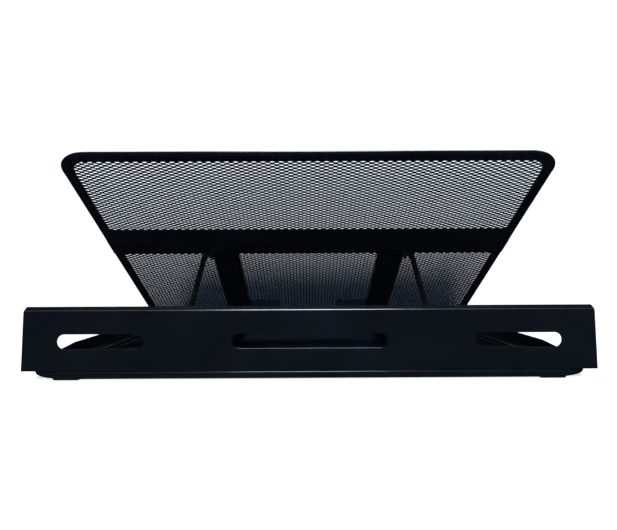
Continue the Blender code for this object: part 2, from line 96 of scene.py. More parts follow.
def carried(section, places, inward):
    """Rings of a closed section along a path. A ring point is its place, plus the section's first value
    along the inward direction there, at the section's second value as height."""
    section = np.broadcast_to(section, (len(places),) + section.shape[-2:])
    level = places[:, None, :] + section[:, :, :1] * inward[:, None, :]
    return np.concatenate((level, section[:, :, 1:]), axis=2)


def wrapped_path(half_width, end_y, leg_y, radius, steps=12):
    """Places and inward directions along one leg, round a corner arc, across the end and back again."""
    forward = math.copysign(1, leg_y - end_y)
    turn = np.linspace(0, math.pi / 2, steps + 1)
    inward = np.stack((np.cos(turn), forward * np.sin(turn)), axis=1)
    arc = np.array([radius - half_width, end_y + forward * radius]) - radius * inward
    places = np.concatenate(([[-half_width, leg_y]], arc))
    inward = np.concatenate(([[1.0, 0.0]], inward))
    mirror = np.array([-1.0, 1.0])
    return np.concatenate((places, places[::-1] * mirror)), np.concatenate((inward, inward[::-1] * mirror))


def mesh_piece(name, points, quads, caps=()):
    """Mesh object of four-cornered faces and end caps. Its faces are turned outwards when the volume summed
    from its triangles is negative, and edges over 40 degrees stay sharp."""
    fans = [np.stack((np.full(len(cap) - 2, cap[0]), cap[1:-1], cap[2:]), axis=1) for cap in caps]
    triangles = np.concatenate([quads[:, :3], quads[:, [0, 2, 3]]] + fans)
    a, b, c = points[triangles[:, 0]], points[triangles[:, 1]], points[triangles[:, 2]]
    if (a * np.cross(b, c)).sum() < 0:
        quads = quads[:, ::-1]
        caps = [cap[::-1] for cap in caps]
    corners = np.concatenate([quads.reshape(-1)] + list(caps)).astype(np.int32)
    sizes = np.array([4] * len(quads) + [len(cap) for cap in caps])
    starts = np.concatenate(([0], np.cumsum(sizes)[:-1])).astype(np.int32)
    mesh = bpy.data.meshes.new(name)
    mesh.vertices.add(len(points))
    mesh.vertices.foreach_set("co", points.astype(np.float32).reshape(-1))
    mesh.loops.add(len(corners))
    mesh.loops.foreach_set("vertex_index", corners)
    mesh.polygons.add(len(sizes))
    mesh.polygons.foreach_set("loop_start", starts)
    mesh.update(calc_edges=True)
    mesh.validate()
    mesh.polygons.foreach_set("use_smooth", np.ones(len(mesh.polygons), bool))
    mesh.set_sharp_from_angle(angle=math.radians(40))
    piece = bpy.data.objects.new(name, mesh)
    bpy.context.scene.collection.objects.link(piece)
    return piece


def skin(name, rings):
    """Closed skin over rings of points: quads between neighbouring rings and a flat cap on each end."""
    count, around = rings.shape[:2]
    index = np.arange(count * around).reshape(count, around)
    after = np.roll(index, -1, axis=1)
    quads = np.stack((index[:-1], after[:-1], after[1:], index[1:]), axis=2).reshape(-1, 4)
    return mesh_piece(name, rings.reshape(-1, 3), quads, (index[0][::-1], index[-1]))


def tray_section(lip, hem):
    """Outline of a rail: up to the lip, over the ledge, down the inner leg, back under the ledge, and round
    the hem, which rolls outwards and ends at its own height over the desk."""
    leg = RAIL_DEPTH - RAIL_SHEET
    under = LEDGE_TOP - RAIL_SHEET
    corners = [
        (0, lip), (RAIL_SHEET, lip), (RAIL_SHEET, LEDGE_TOP), (RAIL_DEPTH, LEDGE_TOP),
        (RAIL_DEPTH, LEG_BOTTOM), (leg, LEG_BOTTOM), (leg, under), (RAIL_SHEET, under),
        (RAIL_SHEET, hem), (-HEM_OUT, hem), (-HEM_OUT, HEM_TOP), (0, HEM_TOP),
    ]
    radii = [0.0005, 0.0005, 0.0006, 0.0016, 0.0004, 0.0004, 0.0005, 0.0005, 0.0004, 0.0009, 0.0006, 0.0003]
    return rounded(corners, radii)


def linear(colour):
    """Linear RGBA of an sRGB hex colour: a straight line near black, and a power of 2.4 above it."""
    value = np.array([int(colour[place:place + 2], 16) for place in (1, 3, 5)]) / 255
    value = np.where(value <= 0.04045, value / 12.92, ((value + 0.055) / 1.055) ** 2.4)
    return (*value.tolist(), 1.0)


def add(tree, kind, inputs=(), **settings):
    """One node with its settings. An input given as a socket is linked, and any other value is set."""
    node = tree.nodes.new(kind)
    for name, value in settings.items():
        setattr(node, name, value)
    for socket, value in dict(inputs).items():
        if isinstance(value, bpy.types.NodeSocket):
            tree.links.new(value, node.inputs[socket])
        else:
            node.inputs[socket].default_value = value
    return node


def bare_tree(owner):
    """Emptied node tree of a material or of the world."""
    owner.use_nodes = True
    owner.node_tree.nodes.clear()
    return owner.node_tree


def powder_coat(name, dark, pale, low, high, peel, depth):
    """Baked powder coat: a dark pigment with faint mottling, a sheen whose roughness runs from low to high,
    and an orange-peel relief whose waves are peel metres long and depth metres high."""
    material = bpy.data.materials.new(name)
    tree = bare_tree(material)
    place = add(tree, "ShaderNodeTexCoord").outputs["Object"]
    wave = add(tree, "ShaderNodeTexNoise", {"Vector": place, "Scale": 1 / peel, "Detail": 2.0})
    cloud = add(tree, "ShaderNodeTexNoise", {"Vector": place, "Scale": 1 / MOTTLING, "Detail": 3.0})
    tint = add(tree, "ShaderNodeValToRGB", {"Fac": cloud.outputs["Fac"]})
    tint.color_ramp.elements[0].position = 0.35
    tint.color_ramp.elements[0].color = linear(dark)
    tint.color_ramp.elements[1].position = 0.65
    tint.color_ramp.elements[1].color = linear(pale)
    sheen = add(
        tree,
        "ShaderNodeMapRange",
        {"Value": wave.outputs["Fac"], "From Min": 0.3, "From Max": 0.7, "To Min": low, "To Max": high},
    )
    relief = add(
        tree, "ShaderNodeBump", {"Height": wave.outputs["Fac"], "Strength": 1.0, "Distance": depth}
    )
    shader = add(
        tree,
        "ShaderNodeBsdfPrincipled",
        {
            "Base Color": tint.outputs["Color"],
            "Roughness": sheen.outputs["Result"],
            "Normal": relief.outputs["Normal"],
            "Specular IOR Level": 0.5,
        },
    )
    add(tree, "ShaderNodeOutputMaterial", {"Surface": shader.outputs["BSDF"]})
    return material


# Satin black powder coat, sprayed on sheet steel and baked: near black, faintly blue, with a soft sheen.
# Its orange-peel waves are about 1.6 mm long and a few thousandths of a millimetre high.
satin_coat = powder_coat(
    "satin_black_powder_coat", COAT_BLACK, COAT_PALE, low=0.15, high=0.21, peel=0.0016, depth=0.000002
)

# The hem is low across both ends of the tray and rises round the corners to the height of the sides.
rear_path = wrapped_path(TRAY_HALF, TRAY_REAR, TRAY_REAR + REAR_LEG, TRAY_CORNER)
front_path = wrapped_path(TRAY_HALF, TRAY_FRONT, TRAY_FRONT - FRONT_LEG, TRAY_CORNER)
hems = np.append(HEM_SIDE, np.linspace(HEM_SIDE, HEM_END, len(rear_path[0]) // 2 - 1))
hems = np.append(hems, hems[::-1])
rails = {
    "base_rear_rail": carried(np.stack([tray_section(LIP_REAR, hem) for hem in hems]), *rear_path),
    "base_front_rail": carried(np.stack([tray_section(LIP_FRONT, hem) for hem in hems]), *front_path),
}
side_y = np.array([TRAY_REAR + REAR_LEG + SEAM, LIP_BREAK_Y, TRAY_FRONT - FRONT_LEG - SEAM])
side_sections = np.stack([tray_section(lip, HEM_SIDE) for lip in (LIP_REAR, LIP_BREAK, LIP_FRONT)])
for side, word in ((-1.0, "left"), (1.0, "right")):
    places = np.stack((np.full(3, side * TRAY_HALF), side_y), axis=1)
    rails["base_side_rail_" + word] = carried(side_sections, places, np.tile([-side, 0.0], (3, 1)))
for node, rings in rails.items():
    rail = skin("coated_" + node, rings)
    rail.data.materials.append(satin_coat)
    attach(rail, "base")
    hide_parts(node)

# Tray floor: a panel of expanded steel, slit and stretched so that its strands stand a little on edge.
# It is welded inside the rails with a plain border, in two sheets whose meeting line follows the strands.
LONG_WAY = 0.00624
SHORT_WAY = 0.00385
OPENING_TIP = 0.0023
OPENING_FLAT = 0.0009
OPENING_RISE = 0.00105
STRAND_THICK = 0.00045
STRAND_LIFT = 0.0003
CELL_TIP = 0.0027
FLOOR_X = 0.1617
FLOOR_Y = (-0.1547, 0.1562)
FLOOR_LEVEL = 0.0053
FLOOR_CORNER = 0.0095
FLOOR_BORDER = 0.004
FLOOR_SPLIT_ROW = 0


def expanded_metal(half_x, y_span, corner, border, split):
    """Two shares of a panel of six-sided cells in staggered rows, parted at the split row. Cells that reach
    past the rounded outline are drawn back to it, and those inside the border get an opening.
    The lower edge of an opening lies below the sheet and its upper edge above, so the strands between them
    are tilted."""
    middle = np.array([0, (y_span[0] + y_span[1]) / 2])
    core = np.array([half_x - corner, (y_span[1] - y_span[0]) / 2 - corner])
    columns = np.arange(-int(half_x / LONG_WAY) - 2, int(half_x / LONG_WAY) + 3)
    rows = np.arange(-int(core[1] * 2 / SHORT_WAY) - 12, int(core[1] * 2 / SHORT_WAY) + 13)
    column, row = (part.reshape(-1) for part in np.meshgrid(columns, rows))
    centre = np.stack(((column + 0.5 * (row % 2)) * LONG_WAY, row * SHORT_WAY / 2), axis=1)
    flat = LONG_WAY / 2 - CELL_TIP
    rise = SHORT_WAY / 2
    cell = np.array(
        [(CELL_TIP, 0), (flat, rise), (-flat, rise), (-CELL_TIP, 0), (-flat, -rise), (flat, -rise)]
    )
    opening = np.array(
        [
            (OPENING_TIP, 0), (OPENING_FLAT, OPENING_RISE), (-OPENING_FLAT, OPENING_RISE),
            (-OPENING_TIP, 0), (-OPENING_FLAT, -OPENING_RISE), (OPENING_FLAT, -OPENING_RISE),
        ]
    )
    lift = np.array([0, 1, 1, 0, -1, -1]) * STRAND_LIFT / 2

    def drawn_back(points):
        """Points pulled towards the nearest point of the core, to within a corner radius of it."""
        near = np.clip(points, -core, core)
        out = points - near
        length = np.linalg.norm(out, axis=-1, keepdims=True)
        return near + out * np.minimum(1, corner / np.maximum(length, 1e-9))

    cells = drawn_back(centre[:, None, :] + cell)
    following = np.roll(cells, -1, axis=1)
    area = (cells[..., 0] * following[..., 1] - cells[..., 1] * following[..., 0]).sum(axis=1) / 2
    kept = area > 1e-9
    cells, centre, row = cells[kept], centre[kept], row[kept]
    reach = np.abs(centre[:, None, :] + opening).max(axis=1)
    inside = (reach < core + corner - border).all(axis=1)
    shares = []
    for chosen in (row < split, row >= split):
        flat_points, index = np.unique(
            np.round(cells[chosen].reshape(-1, 2), 7), axis=0, return_inverse=True
        )
        index = index.reshape(-1, 6)
        after = np.roll(index, -1, axis=1)
        cut = inside[chosen]
        holes = (centre[chosen][cut][:, None, :] + opening).reshape(-1, 2)
        hole_lift = np.tile(lift, cut.sum())
        levels = []
        for height in (STRAND_THICK / 2, -STRAND_THICK / 2):
            levels.append(np.column_stack((flat_points, np.full(len(flat_points), height))))
        for height in (STRAND_THICK / 2, -STRAND_THICK / 2):
            levels.append(np.column_stack((holes, hole_lift + height)))
        points = np.concatenate(levels)
        points[:, :2] += middle
        # Faces: rings round the openings on both sides, their inner walls, plain cells, and the outer edge.
        low = len(flat_points)
        rim = 2 * low + np.arange(len(holes)).reshape(-1, 6)
        rim_after = np.roll(rim, -1, axis=1)
        under = len(holes)
        ring = np.stack((index[cut], after[cut], rim_after, rim), axis=2).reshape(-1, 4)
        ring_low = np.stack((rim + under, rim_after + under, after[cut] + low, index[cut] + low), axis=2)
        wall = np.stack((rim, rim_after, rim_after + under, rim + under), axis=2).reshape(-1, 4)
        plain = index[~cut]
        plain = np.concatenate((plain[:, [0, 1, 2, 3]], plain[:, [0, 3, 4, 5]]))
        edge = np.stack((index, after), axis=2).reshape(-1, 2)
        edge = edge[edge[:, 0] != edge[:, 1]]
        outer = edge[~np.isin(edge[:, 0] * low + edge[:, 1], edge[:, 1] * low + edge[:, 0])]
        side = np.stack((outer[:, 1], outer[:, 0], outer[:, 0] + low, outer[:, 1] + low), axis=1)
        quads = np.concatenate((ring, ring_low.reshape(-1, 4), wall, plain, plain[:, ::-1] + low, side))
        shares.append((points, quads))
    return shares


# The same coat on the expanded steel, thinner and glossier on its narrow strands.
mesh_coat = powder_coat(
    "powder_coat_on_expanded_steel", "#10181f", "#162029", low=0.14, high=0.20, peel=0.0012, depth=0.000002
)

floor_sheets = expanded_metal(FLOOR_X, FLOOR_Y, FLOOR_CORNER, FLOOR_BORDER, FLOOR_SPLIT_ROW)
for word, (points, quads) in zip(("rear", "front"), floor_sheets):
    floor_sheet = mesh_piece("tray_floor_" + word, points + np.array([0, 0, FLOOR_LEVEL]), quads)
    floor_sheet.data.materials.append(mesh_coat)
    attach(floor_sheet, "base")
    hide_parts("base_mesh")

# Tray strips: two flat steel straps along the floor, pierced with rows of notches for the bail's foot.
# They are punched from sheet, welded to the ledges and coated with the tray.
for word in ("left", "right"):
    strip = frame["nodes"]["base_strip_" + word]
    strip.data.materials.clear()
    strip.data.materials.append(satin_coat)

# Feet: four moulded rubber pads pressed into the open underside of the front and rear rails.
# Their lower edges are rounded, and the rubber is matt with a fine dust-like speckle from the mould.
FOOT_RADIUS = 0.0012
FOOT_ROUND = 0.0007
LEAST_RADIUS = 0.0002
FOOT_BLACK = "#08090a"
FOOT_DUST = "#17181a"
FOOT_GRAIN = 0.0009


def stacked(name, low, high, insets):
    """Pad in a box between two corners. Each ring is the box's rounded rectangle, drawn in by an inset and
    set at its own height."""
    low, high = np.array(low), np.array(high)
    rings = []
    for inset, height in insets:
        x, y = (high[:2] - low[:2]) / 2 - inset
        radius = max(FOOT_RADIUS - inset, LEAST_RADIUS)
        outline = rounded([(-x, -y), (x, -y), (x, y), (-x, y)], [radius] * 4)
        outline = outline + (low[:2] + high[:2]) / 2
        rings.append(np.column_stack((outline, np.full(len(outline), height))))
    return skin(name, np.stack(rings))


foot_rubber = bpy.data.materials.new("moulded_black_rubber")
foot_tree = bare_tree(foot_rubber)
foot_place = add(foot_tree, "ShaderNodeTexCoord").outputs["Object"]
foot_grit = add(
    foot_tree, "ShaderNodeTexNoise", {"Vector": foot_place, "Scale": 1 / FOOT_GRAIN, "Detail": 4.0}
)
foot_tint = add(foot_tree, "ShaderNodeValToRGB", {"Fac": foot_grit.outputs["Fac"]})
foot_tint.color_ramp.elements[0].color = linear(FOOT_BLACK)
foot_tint.color_ramp.elements[1].color = linear(FOOT_DUST)
foot_relief = add(
    foot_tree, "ShaderNodeBump", {"Height": foot_grit.outputs["Fac"], "Strength": 0.6, "Distance": 0.00003}
)
foot_shader = add(
    foot_tree,
    "ShaderNodeBsdfPrincipled",
    {
        "Base Color": foot_tint.outputs["Color"],
        "Roughness": 0.85,
        "Specular IOR Level": 0.15,
        "Normal": foot_relief.outputs["Normal"],
    },
)
add(foot_tree, "ShaderNodeOutputMaterial", {"Surface": foot_shader.outputs["BSDF"]})

swell = np.sin(np.linspace(0, math.pi / 2, 5))
insets = [(FOOT_ROUND * (1 - part), FOOT_ROUND * (1 - math.sqrt(1 - part ** 2))) for part in swell]
for end in ("rear", "front"):
    for word in ("left", "right"):
        node = "foot_%s_%s" % (end, word)
        low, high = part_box(node)
        foot = stacked("rubber_" + node, low, high, insets + [(0.0, high[2])])
        foot.data.materials.append(foot_rubber)
        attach(foot, "base")
        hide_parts(node)

# Rear wall: one plate of 1.2 mm sheet with three long slots, folded over along its top from end to end.
# It narrows a little towards the top, and is welded to the rear rail and powder coated with the tray.
WALL_FACE = -0.1665
WALL_SHEET = 0.0012
WALL_BOTTOM = 0.006
WALL_TOP = 0.0452
WALL_HALF_BOTTOM = 0.176
WALL_HALF_TOP = 0.17425
WALL_FLANGE = 0.0042
WALL_BEND = 0.0020
WALL_LEAN = math.radians(62)
BEND_STEPS = 8
EDGE_ROUND = 0.0005
PLAIN_EDGE = 0.25
SLOT_Z = 0.024
SLOT_RADIUS = 0.0044
SLOT_MARGIN = 0.00001
SLOTS = ((-0.1278, 0.0525), (0.0, 0.095), (0.1278, 0.0525))

# Grid of the plate: columns at its ends and round the ends of the slots, rows below and above the slots and
# on round the fold. The gape is half the height of the slot at each column.
swing = np.linspace(0, math.pi / 2, 11)
across = []
gape = []
for slot_x, slot_length in SLOTS:
    straight = slot_length / 2 - SLOT_RADIUS
    left_end = slot_x - straight - SLOT_RADIUS * np.cos(swing)
    right_end = slot_x + straight + SLOT_RADIUS * np.sin(swing)
    across += [left_end, right_end]
    gape += [SLOT_RADIUS * np.sin(swing), SLOT_RADIUS * np.cos(swing)]
across = np.concatenate([[-WALL_HALF_BOTTOM]] + across + [[WALL_HALF_BOTTOM]])
gape = np.concatenate([[0.0]] + gape + [[0.0]])
bend_start = WALL_TOP - WALL_BEND * math.sin(WALL_LEAN) - WALL_FLANGE * math.cos(WALL_LEAN)
share_up = np.array([0, 0.5, 1])[None, :]
lower = WALL_BOTTOM + share_up * (SLOT_Z - gape - WALL_BOTTOM)[:, None]
upper = (SLOT_Z + gape)[:, None] + share_up * (bend_start - SLOT_Z - gape)[:, None]
rows_z = np.concatenate((lower, upper), axis=1)
fold = np.append(np.linspace(0, WALL_LEAN, BEND_STEPS + 1)[1:], WALL_LEAN)
flange_run = np.append(np.zeros(BEND_STEPS), WALL_FLANGE)
inner_bend = WALL_BEND - WALL_SHEET
fold_z = bend_start + WALL_BEND * np.sin(fold) + flange_run * math.cos(WALL_LEAN)
fold_y = WALL_BEND * (1 - np.cos(fold)) + flange_run * math.sin(WALL_LEAN)
fold_in_z = bend_start + inner_bend * np.sin(fold) + flange_run * math.cos(WALL_LEAN)
fold_in_y = WALL_SHEET + inner_bend * (1 - np.cos(fold)) + flange_run * math.sin(WALL_LEAN)
columns = len(across)
front_z = np.concatenate((rows_z, np.tile(fold_z, (columns, 1))), axis=1)
back_z = np.concatenate((rows_z, np.tile(fold_in_z, (columns, 1))), axis=1)
front_y = np.concatenate((np.zeros_like(rows_z), np.tile(fold_y, (columns, 1))), axis=1)
back_y = np.concatenate((np.full_like(rows_z, WALL_SHEET), np.tile(fold_in_y, (columns, 1))), axis=1)
wall_x = np.repeat(across[:, None], front_z.shape[1], axis=1)
taper = (front_z[[0, -1]] - WALL_BOTTOM) / (WALL_TOP - WALL_BOTTOM) * (WALL_HALF_BOTTOM - WALL_HALF_TOP)
wall_x[[0, -1]] += np.array([[1.0], [-1.0]]) * taper
# The row of cells between the lips of the slots is left out. Away from the slots it has no height.
wall_cells = np.ones((columns - 1, front_z.shape[1] - 1), bool)
wall_cells[:, lower.shape[1] - 1] = False
front_points = np.stack((wall_x, WALL_FACE + front_y, front_z), axis=2).reshape(-1, 3)
back_points = np.stack((wall_x, WALL_FACE + back_y, back_z), axis=2).reshape(-1, 3)


def plate(name, front, back, shape, cells):
    """Plate between a front and a back grid. Grid cells that are kept get a face on both sides, and every
    edge that only one kept cell uses gets a wall from front to back."""
    _, first, merged = np.unique(np.round(front, 7), axis=0, return_index=True, return_inverse=True)
    index = merged.reshape(shape)
    quads = np.stack((index[:-1, :-1], index[1:, :-1], index[1:, 1:], index[:-1, 1:]), axis=2)[cells]
    edge = np.stack((quads, np.roll(quads, -1, axis=1)), axis=2).reshape(-1, 2)
    edge = edge[edge[:, 0] != edge[:, 1]]
    count = len(first)
    outer = edge[~np.isin(edge[:, 0] * count + edge[:, 1], edge[:, 1] * count + edge[:, 0])]
    side = np.stack((outer[:, 1], outer[:, 0], outer[:, 0] + count, outer[:, 1] + count), axis=1)
    points = np.concatenate((front[first], back[first]))
    return mesh_piece(name, points, np.concatenate((quads, quads[:, ::-1] + count, side)))


wall = plate("folded_rear_wall", front_points, back_points, front_z.shape, wall_cells)
# The sharp edges are rounded, most at the slots, whose lips are smoothed for cables.
edge_ends = np.empty(2 * len(wall.data.edges), np.int32)
wall.data.edges.foreach_get("vertices", edge_ends)
wall_points = np.empty(3 * len(wall.data.vertices), np.float32)
wall.data.vertices.foreach_get("co", wall_points)
from_slot = np.abs(wall_points.reshape(-1, 3)[edge_ends.reshape(-1, 2), 2] - SLOT_Z).max(axis=1)
sharp = np.empty(len(wall.data.edges), bool)
wall.data.attributes["sharp_edge"].data.foreach_get("value", sharp)
rounding = np.where(from_slot < SLOT_RADIUS + SLOT_MARGIN, 1.0, PLAIN_EDGE) * sharp
wall.data.attributes.new("bevel_weight_edge", "FLOAT", "EDGE")
wall.data.attributes["bevel_weight_edge"].data.foreach_set("value", rounding.astype(np.float32))
edge_round = wall.modifiers.new("sheared_edges", "BEVEL")
edge_round.width = EDGE_ROUND
edge_round.segments = 3
edge_round.limit_method = "WEIGHT"
wall.data.materials.append(satin_coat)
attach(wall, "base")
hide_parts("rear_wall")

# Hinge rivets: domed steel rivets through the lip of the tray and the ears of the platform.
# They are blackened, and turned about the hinge axis from one profile of places along it and radii.
HINGE = np.array(frame["joints"][0]["pos_m"])
RIVET_PROFILE = np.array(
    [
        (0.1680, 0.0024), (0.1684, 0.0029), (0.1688, 0.0029), (0.1690, 0.0026), (0.1690, 0.0020),
        (0.1723, 0.0020), (0.1723, 0.0027), (0.1726, 0.0029), (0.1730, 0.0027), (0.1735, 0.0021),
        (0.1738, 0.0011),
    ]
)
black_steel = powder_coat(
    "blackened_steel", "#0f1113", "#191c1f", low=0.24, high=0.34, peel=0.0008, depth=0.000003
)
spin = np.linspace(0, 2 * math.pi, 32, endpoint=False)
rivet_out, rivet_radius = RIVET_PROFILE[:, :1], RIVET_PROFILE[:, 1:]
for side, word in ((-1.0, "left"), (1.0, "right")):
    ring_x = np.repeat(side * rivet_out, len(spin), axis=1)
    ring_y = HINGE[1] + rivet_radius * np.cos(spin)
    ring_z = HINGE[2] + rivet_radius * np.sin(spin)
    rivet = skin("blackened_hinge_pin_" + word, np.stack((ring_x, ring_y, ring_z), axis=2))
    rivet.data.materials.append(black_steel)
    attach(rivet, "base")
    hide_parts("hinge_pin_" + word)

# Platform rims: four channels of 0.8 mm sheet that clasp the deck and tilt with it about the hinge.
# The end channels wrap both corners, and the side channels run between them and cover the cut strands.
TILT = -math.radians(frame["joints"][0]["range_deg"][0])
DECK_HALF = 0.1717
DECK_REAR = -0.3038
DECK_FRONT = 0.012
REAR_CORNER = 0.021
FRONT_CORNER = 0.011
RIM_LEG = 0.0226
RIM_SHEET = 0.0008
RIM_TOP = 0.0069
RIM_BOTTOM = 0.0049
END_ROLL = 0.0012
SIDE_ROLL = 0.0030
REAR_FLANGES = (0.0076, 0.0084)
FRONT_FLANGES = (0.0068, 0.0068)
SIDE_FLANGES = (0.0064, 0.0064)
NARROWING = 0.0082


def drawn_in(points):
    """Points of the platform, narrowed evenly from its rear edge to its front edge."""
    share = (points[..., 1] - DECK_REAR) / (DECK_FRONT - DECK_REAR)
    return np.stack((points[..., 0] * (1 - NARROWING * share), points[..., 1], points[..., 2]), axis=-1)


def tilted(points):
    """Points given flat about the hinge axis, turned by the tilt of the platform and set on the hinge."""
    x, y, z = points[..., 0], points[..., 1], points[..., 2]
    turned_y = HINGE[1] + y * math.cos(TILT) + z * math.sin(TILT)
    turned_z = HINGE[2] - y * math.sin(TILT) + z * math.cos(TILT)
    return np.stack((x, turned_y, turned_z), axis=-1)


def folded_sheet(line, thickness):
    """Outline of a folded sheet: its middle line moved half a thickness to each side along the normals,
    with half-round edges."""
    along = np.gradient(line, axis=0)
    along /= np.linalg.norm(along, axis=1, keepdims=True)
    normal = np.stack((-along[:, 1], along[:, 0]), axis=1)
    half = thickness / 2
    swing = np.linspace(0, math.pi, 7)[1:-1, None]
    end = line[-1] + half * (np.cos(swing) * normal[-1] + np.sin(swing) * along[-1])
    start = line[0] + half * (-np.cos(swing) * normal[0] - np.sin(swing) * along[0])
    return np.concatenate((line + half * normal, end, (line - half * normal)[::-1], start))


def channel(top_flange, bottom_flange, roll):
    """Section of a rim: two flanges joined by a back that is half an oval, roll metres deep."""
    middle = (RIM_TOP + RIM_BOTTOM) / 2
    radius = (RIM_TOP - RIM_BOTTOM) / 2
    turn = np.linspace(math.pi / 2, 1.5 * math.pi, 13)
    back = RIM_SHEET / 2 + roll + roll * np.cos(turn)
    line = np.column_stack((back, middle + radius * np.sin(turn)))
    line = np.concatenate(([(top_flange, RIM_TOP)], line, [(bottom_flange, RIM_BOTTOM)]))
    return folded_sheet(line, RIM_SHEET)


rear_rim = wrapped_path(DECK_HALF, DECK_REAR, DECK_REAR + RIM_LEG, REAR_CORNER)
front_rim = wrapped_path(DECK_HALF, DECK_FRONT, DECK_FRONT - RIM_LEG, FRONT_CORNER)
rims = {
    "platform_rear_rail": carried(channel(*REAR_FLANGES, END_ROLL), *rear_rim),
    "platform_front_rail": carried(channel(*FRONT_FLANGES, END_ROLL), *front_rim),
}
side_rim = channel(*SIDE_FLANGES, SIDE_ROLL)
rim_y = np.array([DECK_REAR + RIM_LEG + SEAM, DECK_FRONT - RIM_LEG - SEAM])
for side, word in ((-1.0, "left"), (1.0, "right")):
    places = np.stack((np.full(2, side * DECK_HALF), rim_y), axis=1)
    rims["platform_side_rail_" + word] = carried(side_rim, places, np.tile([-side, 0.0], (2, 1)))
for node, rings in rims.items():
    rim = skin("coated_" + node, tilted(drawn_in(rings)))
    rim.data.materials.append(satin_coat)
    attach(rim, "platform")
    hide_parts(node)

# Deck: the expanded steel that carries the laptop, with the openings and the coat of the tray floor.
# It is clasped in the rims, with a plain border at its ends, and its two sheets meet above the cross bar.
DECK_EDGE = 0.0011
DECK_LEVEL = 0.0059
DECK_BORDER = np.array([0.0030, 0.0090])
DECK_SPLIT_ROW = -18

deck_span = (DECK_REAR + DECK_EDGE, DECK_FRONT - DECK_EDGE)
deck_sheets = expanded_metal(
    DECK_HALF - DECK_EDGE, deck_span, REAR_CORNER - DECK_EDGE, DECK_BORDER, DECK_SPLIT_ROW
)
for word, (points, quads) in zip(("rear", "front"), deck_sheets):
    points = drawn_in(points + np.array([0, 0, DECK_LEVEL]))
    deck = mesh_piece("deck_sheet_" + word, tilted(points), quads)
    deck.data.materials.append(mesh_coat)
    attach(deck, "platform")
    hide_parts("platform_mesh")

# Cross bar: a steel strap under the deck from rim to rim, stiffened by a shallow step along its middle.
# It is rolled from sheet with a thinned front lip and welded to the side rims.
# The two straps that run to the front start from it.
BAR_REAR = -0.200
BAR_STEP = -0.182
BAR_FRONT = -0.1625
BAR_LIP = -0.1588
BAR_HALF = 0.1697
BAR_TOP = 0.0042
BAR_BOTTOM = 0.0034
BAR_DROP = 0.0004
STEP_HALF = 0.0006
BAR_LIP_TOP = 0.0033

bar_corners = [
    (BAR_REAR, BAR_BOTTOM), (BAR_STEP - STEP_HALF, BAR_BOTTOM),
    (BAR_STEP + STEP_HALF, BAR_BOTTOM - BAR_DROP), (BAR_LIP, BAR_BOTTOM - BAR_DROP),
    (BAR_LIP, BAR_LIP_TOP), (BAR_FRONT, BAR_LIP_TOP), (BAR_FRONT, BAR_TOP - BAR_DROP),
    (BAR_STEP + STEP_HALF, BAR_TOP - BAR_DROP), (BAR_STEP - STEP_HALF, BAR_TOP), (BAR_REAR, BAR_TOP),
]
bar_radii = [0.0003, 0.0010, 0.0010, 0.0001, 0.0001, 0.0001, 0.0002, 0.0010, 0.0010, 0.0003]
bar_section = rounded(bar_corners, bar_radii)
bar_rings = np.stack(
    [np.column_stack((np.full(len(bar_section), x), bar_section)) for x in (-BAR_HALF, BAR_HALF)]
)
bar = skin("coated_cross_bar", tilted(bar_rings))
bar.data.materials.append(satin_coat)
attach(bar, "platform")
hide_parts("cross_bar")

# Straps, lugs and stops of the platform: punched and bent sheet, welded under the deck and coated with it.
# The straps run from the cross bar to the front, and the stops stand up there to hold the laptop.
for node in ("platform_strip", "bail_lug", "hinge_lug", "front_stop"):
    for word in ("left", "right"):
        sheet = frame["nodes"]["%s_%s" % (node, word)]
        sheet.data.materials.clear()
        sheet.data.materials.append(satin_coat)

# Wire bail: one length of 4.5 mm steel wire, bent to a wide U whose ends turn inwards into the lugs.
# It is dipped in a smooth black coating, and its foot drops into the notches of the tray strips.
PIVOT = np.array(frame["joints"][1]["pos_m"])
WIRE_RADIUS = 0.00225
BAIL_HALF = 0.0895
BAIL_LENGTH = 0.130
FOOT_LEVEL = 0.0110
WIRE_END = 0.0815
WIRE_BEND = 0.0035
FOOT_BEND = 0.012

lean = math.asin((PIVOT[2] - FOOT_LEVEL) / BAIL_LENGTH)
turn = np.linspace(0, math.pi / 2, 13)
upper_bend = np.stack((np.sin(turn), np.cos(turn)), axis=1)
lower_bend = np.stack((np.cos(turn), -np.sin(turn)), axis=1)
half_places = np.concatenate(
    (
        [(WIRE_END, 0)],
        np.array([BAIL_HALF - WIRE_BEND, -WIRE_BEND]) + WIRE_BEND * upper_bend,
        np.array([BAIL_HALF - FOOT_BEND, FOOT_BEND - BAIL_LENGTH]) + FOOT_BEND * lower_bend,
    )
)
half_normals = np.concatenate(([(0.0, 1.0)], upper_bend, lower_bend))
flip = np.array([-1.0, 1.0])
wire_places = np.concatenate((half_places, half_places[::-1] * flip))
wire_normals = np.concatenate((half_normals, half_normals[::-1] * flip))
wire_section = WIRE_RADIUS * np.stack((np.cos(spin), np.sin(spin)), axis=1)
flat_wire = carried(wire_section, wire_places, wire_normals)
lean_y = flat_wire[..., 1] * math.cos(lean) - flat_wire[..., 2] * math.sin(lean)
lean_z = flat_wire[..., 1] * math.sin(lean) + flat_wire[..., 2] * math.cos(lean)
bail_rings = np.stack((flat_wire[..., 0], PIVOT[1] + lean_y, PIVOT[2] + lean_z), axis=2)
bail = skin("coated_support_bail", bail_rings)
wire_coat = powder_coat(
    "dipped_black_coating_on_wire", "#07090b", "#0b0d10", low=0.14, high=0.20, peel=0.0020, depth=0.000002
)
bail.data.materials.append(wire_coat)
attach(bail, "bail")
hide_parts("support_bail")

